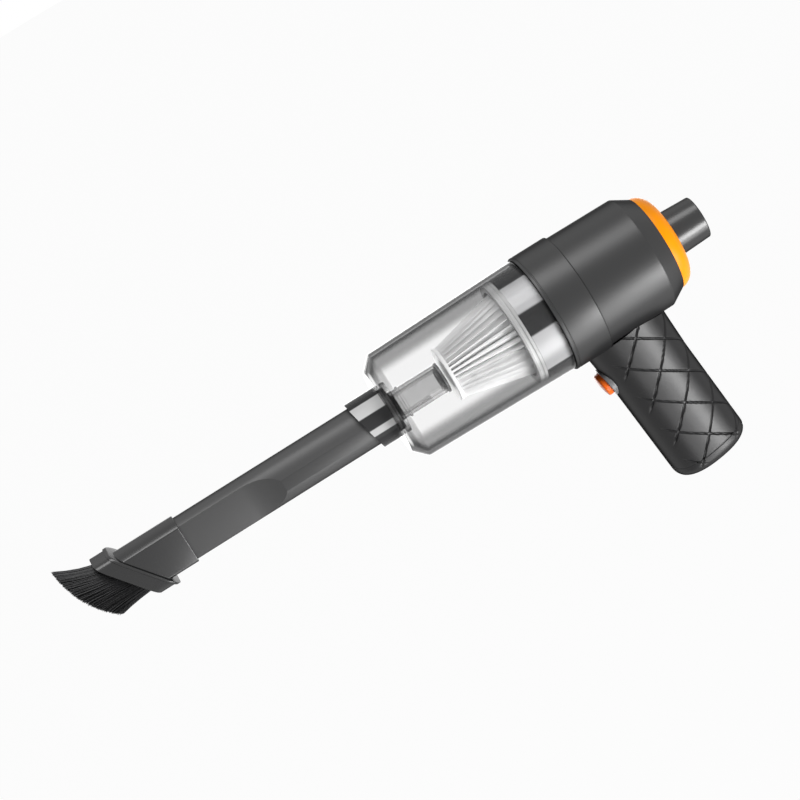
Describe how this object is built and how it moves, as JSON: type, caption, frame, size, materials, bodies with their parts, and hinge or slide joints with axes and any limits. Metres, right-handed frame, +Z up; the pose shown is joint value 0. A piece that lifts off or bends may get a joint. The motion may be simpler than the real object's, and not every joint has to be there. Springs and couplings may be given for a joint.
{
  "type": "handheld car vacuum and dryer blower",
  "caption": "Cordless pistol-grip car vacuum and air blower with a clear dust cup, pleated cone filter, crevice nozzle and slanted brush.",
  "frame": {"origin": "centre of the blower tube's mouth, on the tool's axis", "axes": "+X out of the blower tube's mouth, so the nozzle points to -X; +Z up, away from the handle; +Y completes the right-handed set, towards the tool's right-hand side as its user holds it facing the nozzle"},
  "size_m": [0.3881, 0.0684, 0.1576],
  "materials": {
    "body_grey": "satin",
    "orange_gloss": "gloss",
    "tube_grey": "gloss",
    "clear_smoke": "gloss",
    "white_plastic": "satin",
    "filter_paper": "matte",
    "seal_rubber": "matte",
    "dark_plastic": "matte",
    "nozzle_grey": "satin",
    "brush_grey": "gloss",
    "bristle_black": "matte",
    "grip_black": "satin",
    "bezel_grey": "gloss",
    "button_orange": "gloss",
    "steel": "brushed",
    "armature_steel": "satin",
    "bronze": "satin",
    "fan_plastic": "satin",
    "board_green": "satin",
    "cell_blue": "satin",
    "link_nickel": "brushed"
  },
  "bodies": {
    "main": {"barrel_shell": "body_grey", "lock_collar": "body_grey", "trim_ring": "orange_gloss", "outlet_tube": "tube_grey", "inlet_plate": "dark_plastic", "fan_housing": "fan_plastic", "diffuser_plate": "fan_plastic", "motor_can": "steel", "motor_end_cap": "dark_plastic", "front_bearing": "bronze", "rear_bearing": "bronze", "motor_mount": "seal_rubber", "grip_left": "grip_black", "grip_right": "grip_black", "grip_end_cap": "grip_black", "grip_screws": "steel", "button_bezel": "bezel_grey", "power_switch": "dark_plastic", "control_board": "board_green", "battery_cells": "cell_blue", "cell_holder": "dark_plastic", "cell_links": "link_nickel", "charge_board": "board_green", "charge_port": "steel", "charge_light": "white_plastic"},
    "rotor": {"impeller": "fan_plastic", "motor_shaft": "steel", "armature": "armature_steel"},
    "button": {"power_button": "button_orange", "switch_plunger": "white_plastic"},
    "filter": {"filter_frame": "white_plastic", "filter_seal": "seal_rubber", "filter_cage": "white_plastic", "filter_media": "filter_paper", "filter_nose": "white_plastic"},
    "cup": {"dust_cup": "clear_smoke", "cup_seal": "seal_rubber", "inlet_duct": "tube_grey", "duct_cap": "dark_plastic"},
    "nozzle": {"crevice_nozzle": "nozzle_grey"},
    "brush": {"brush_sleeve": "brush_grey", "tuft_strip": "dark_plastic", "brush_bristles": "bristle_black"}
  },
  "joints": [
    {"name": "fan_spin", "type": "hinge", "parent": "main", "child": "rotor", "pos_m": [0, 0, 0], "axis": [1, 0, 0], "continuous": true},
    {"name": "button_press", "type": "slide", "parent": "main", "child": "button", "axis": [0.9792, 0, 0.2028], "range_m": [0, 0.0018], "stiffness_N_per_m": 1200, "springref_m": -0.001},
    {"name": "filter_draw", "type": "slide", "parent": "main", "child": "filter", "axis": [-1, 0, 0], "range_m": [0, 0.04]},
    {"name": "cup_draw", "type": "slide", "parent": "filter", "child": "cup", "axis": [-1, 0, 0], "range_m": [0, 0.09]},
    {"name": "nozzle_draw", "type": "slide", "parent": "cup", "child": "nozzle", "axis": [-1, 0, 0], "range_m": [0, 0.035]},
    {"name": "brush_draw", "type": "slide", "parent": "nozzle", "child": "brush", "axis": [-1, 0, 0], "range_m": [0, 0.05]}
  ]
}
